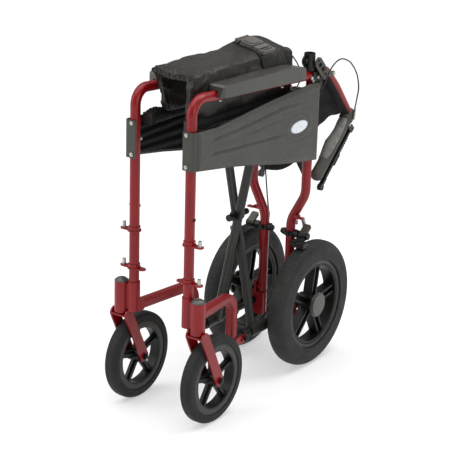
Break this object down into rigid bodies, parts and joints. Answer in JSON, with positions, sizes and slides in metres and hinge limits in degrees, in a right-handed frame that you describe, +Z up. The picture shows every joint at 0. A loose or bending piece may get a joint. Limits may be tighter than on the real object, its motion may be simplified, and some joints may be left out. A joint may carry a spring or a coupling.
{
  "type": "transport wheelchair",
  "caption": "Folding attendant-pushed wheelchair, folded flat: side frames joined by a cross brace, drop-down back, swivel front casters and braked rear wheels.",
  "frame": {"origin": "On the floor under the middle of the folded chair", "axes": "+Z up, -Y the way the sitter faces, +X the sitter's left"},
  "size_m": [0.26, 0.6975, 0.787],
  "materials": {
    "red_paint": "satin metallic powder coat",
    "dark_paint": "semi-gloss grey-black paint",
    "panel_plastic": "satin moulded plastic",
    "black_plastic": "satin black plastic",
    "rim_plastic": "satin black moulded wheel",
    "tyre_rubber": "matte grey rubber",
    "grip_rubber": "matte soft grip",
    "fabric_black": "coated black nylon",
    "zinc": "bright zinc",
    "cable_black": "smooth black sleeve",
    "cap_plastic": "dark domed cap"
  },
  "bodies": {
    "frame_left": {"front_tube_left": "red_paint", "rear_post_left": "red_paint", "caster_housing_left": "red_paint", "housing_cap_left": "cap_plastic", "front_arch_left": "red_paint", "lower_rail_left": "dark_paint", "hanger_bracket_left": "red_paint", "zinc_fittings_left": "zinc", "arm_pad_left": "panel_plastic", "side_panel_left": "panel_plastic", "back_socket_left": "black_plastic", "brake_clamp_left": "black_plastic", "brake_cable_left": "cable_black"},
    "frame_right": {"front_tube_right": "red_paint", "rear_post_right": "red_paint", "caster_housing_right": "red_paint", "housing_cap_right": "cap_plastic", "front_arch_right": "red_paint", "lower_rail_right": "dark_paint", "hanger_bracket_right": "red_paint", "zinc_fittings_right": "zinc", "arm_pad_right": "panel_plastic", "side_panel_right": "panel_plastic", "back_socket_right": "black_plastic", "brake_clamp_right": "black_plastic", "brake_cable_right": "cable_black"},
    "cross_a": {"cross_a": "dark_paint", "cross_bolt": "black_plastic"},
    "cross_b": {"cross_b": "dark_paint"},
    "back_left": {"hinge_plate_left": "panel_plastic", "back_tube_left": "red_paint", "grip_left": "grip_rubber"},
    "lever_left": {"brake_lever_left": "black_plastic"},
    "brake_left": {"brake_arm_left": "black_plastic"},
    "caster_left": {"caster_fork_left": "red_paint"},
    "caster_wheel_left": {"caster_rim_left": "rim_plastic", "caster_tyre_left": "tyre_rubber"},
    "rear_wheel_left": {"rear_rim_left": "rim_plastic", "rear_tyre_left": "tyre_rubber", "hub_cap_left": "panel_plastic"},
    "seat_side_left": {"seat_side_left": "fabric_black"},
    "seat_top_left": {"seat_top_left": "fabric_black", "belt_buckle": "black_plastic"},
    "upper_cloth_left": {"back_upper_left": "fabric_black"},
    "lower_cloth_left": {"back_lower_left": "fabric_black"},
    "back_right": {"hinge_plate_right": "panel_plastic", "back_tube_right": "red_paint", "grip_right": "grip_rubber"},
    "lever_right": {"brake_lever_right": "black_plastic"},
    "brake_right": {"brake_arm_right": "black_plastic"},
    "caster_right": {"caster_fork_right": "red_paint"},
    "caster_wheel_right": {"caster_rim_right": "rim_plastic", "caster_tyre_right": "tyre_rubber"},
    "rear_wheel_right": {"rear_rim_right": "rim_plastic", "rear_tyre_right": "tyre_rubber", "hub_cap_right": "panel_plastic"},
    "seat_side_right": {"seat_side_right": "fabric_black"},
    "seat_top_right": {"seat_top_right": "fabric_black"},
    "upper_cloth_right": {"back_upper_right": "fabric_black"},
    "lower_cloth_right": {"back_lower_right": "fabric_black"}
  },
  "joints": [
    {"name": "fold", "type": "hinge", "parent": "frame_left", "child": "cross_a", "pos_m": [0.054, -0.0175, 0.128], "axis": [0, -1, 0], "range_deg": [0, 37.5]},
    {"name": "cross_pivot", "type": "hinge", "parent": "cross_a", "child": "cross_b", "pos_m": [0, -0.023, 0.39459], "axis": [0, -1, 0], "range_deg": [-75, 0]},
    {"name": "frame_follow", "type": "hinge", "parent": "cross_b", "child": "frame_right", "pos_m": [-0.054, -0.029, 0.128], "axis": [0, -1, 0], "range_deg": [0, 37.5]},
    {"name": "seat_side_left_turn", "type": "hinge", "parent": "cross_b", "child": "seat_side_left", "pos_m": [0.054, -0.084, 0.66117], "axis": [0, -1, 0], "range_deg": [0, 132.5], "deforming": ["seat_side_left"]},
    {"name": "seat_top_turn", "type": "hinge", "parent": "seat_side_left", "child": "seat_top_left", "pos_m": [0.054, -0.084, 0.766], "axis": [0, -1, 0], "range_deg": [-95, 0]},
    {"name": "seat_top_spread", "type": "slide", "parent": "seat_top_left", "child": "seat_top_right", "axis": [-1, 0, 0], "range_m": [0, 0.0934], "deforming": ["seat_top_right"]},
    {"name": "seat_side_right_turn", "type": "hinge", "parent": "seat_top_right", "child": "seat_side_right", "pos_m": [-0.054, -0.084, 0.766], "axis": [0, -1, 0], "range_deg": [-95, 0], "deforming": ["seat_side_right"]},
    {"name": "caster_swivel_left", "type": "hinge", "parent": "frame_left", "child": "caster_left", "pos_m": [0.1045, -0.305, 0.25], "axis": [0, 0, 1], "continuous": true},
    {"name": "caster_spin_left", "type": "hinge", "parent": "caster_left", "child": "caster_wheel_left", "pos_m": [0.1045, -0.25, 0.1], "axis": [1, 0, 0], "continuous": true},
    {"name": "rear_spin_left", "type": "hinge", "parent": "frame_left", "child": "rear_wheel_left", "pos_m": [0.091, 0.152, 0.152], "axis": [1, 0, 0], "continuous": true},
    {"name": "back_fold_left", "type": "hinge", "parent": "frame_left", "child": "back_left", "pos_m": [0.074, 0.162, 0.715], "axis": [1, 0, 0], "range_deg": [0, 132], "deforming": ["brake_cable_left"]},
    {"name": "lever_left", "type": "hinge", "parent": "back_left", "child": "lever_left", "pos_m": [0.084, 0.30971, 0.54396], "axis": [1, 0, 0], "range_deg": [0, 14]},
    {"name": "brake_left", "type": "hinge", "parent": "frame_left", "child": "brake_left", "pos_m": [0.078, 0.145, 0.317], "axis": [-1, 0, 0], "range_deg": [0, 8]},
    {"name": "upper_cloth_left", "type": "slide", "parent": "back_left", "child": "upper_cloth_left", "axis": [-0.6289, 0.2081, 0.7491], "range_m": [0, 0.24029], "deforming": ["back_upper_left"]},
    {"name": "lower_cloth_left", "type": "slide", "parent": "frame_left", "child": "lower_cloth_left", "axis": [-0.9054, 0.4074, 0.1198], "range_m": [0, 0.16692], "deforming": ["back_lower_left"]},
    {"name": "caster_swivel_right", "type": "hinge", "parent": "frame_right", "child": "caster_right", "pos_m": [-0.1045, -0.305, 0.25], "axis": [0, 0, 1], "continuous": true},
    {"name": "caster_spin_right", "type": "hinge", "parent": "caster_right", "child": "caster_wheel_right", "pos_m": [-0.1045, -0.25, 0.1], "axis": [1, 0, 0], "continuous": true},
    {"name": "rear_spin_right", "type": "hinge", "parent": "frame_right", "child": "rear_wheel_right", "pos_m": [-0.091, 0.152, 0.152], "axis": [1, 0, 0], "continuous": true},
    {"name": "back_fold_right", "type": "hinge", "parent": "frame_right", "child": "back_right", "pos_m": [-0.074, 0.162, 0.715], "axis": [1, 0, 0], "range_deg": [0, 132], "deforming": ["brake_cable_right"]},
    {"name": "lever_right", "type": "hinge", "parent": "back_right", "child": "lever_right", "pos_m": [-0.084, 0.30971, 0.54396], "axis": [1, 0, 0], "range_deg": [0, 14]},
    {"name": "brake_right", "type": "hinge", "parent": "frame_right", "child": "brake_right", "pos_m": [-0.078, 0.145, 0.317], "axis": [-1, 0, 0], "range_deg": [0, 8]},
    {"name": "upper_cloth_right", "type": "slide", "parent": "back_right", "child": "upper_cloth_right", "axis": [0.6289, 0.2081, 0.7491], "range_m": [0, 0.24029], "deforming": ["back_upper_right"]},
    {"name": "lower_cloth_right", "type": "slide", "parent": "frame_right", "child": "lower_cloth_right", "axis": [0.9054, 0.4074, 0.1198], "range_m": [0, 0.16692], "deforming": ["back_lower_right"]}
  ],
  "couplings": [
    {"joint": "cross_pivot", "follows": "fold", "ratio": -2},
    {"joint": "frame_follow", "follows": "fold", "ratio": 1},
    {"joint": "seat_side_left_turn", "follows": "fold", "ratio": 3.5333},
    {"joint": "seat_top_turn", "follows": "fold", "ratio": -2.5333},
    {"joint": "seat_top_spread", "follows": "fold", "m_per_rad": 0.1427},
    {"joint": "seat_side_right_turn", "follows": "fold", "ratio": -2.5333},
    {"joint": "brake_left", "follows": "lever_left", "ratio": 0.57143},
    {"joint": "upper_cloth_left", "follows": "fold", "m_per_rad": 0.36714},
    {"joint": "lower_cloth_left", "follows": "fold", "m_per_rad": 0.25504},
    {"joint": "brake_right", "follows": "lever_right", "ratio": 0.57143},
    {"joint": "upper_cloth_right", "follows": "fold", "m_per_rad": 0.36714},
    {"joint": "lower_cloth_right", "follows": "fold", "m_per_rad": 0.25504},
    {"joint": "back_fold_right", "follows": "back_fold_left", "ratio": 1}
  ]
}
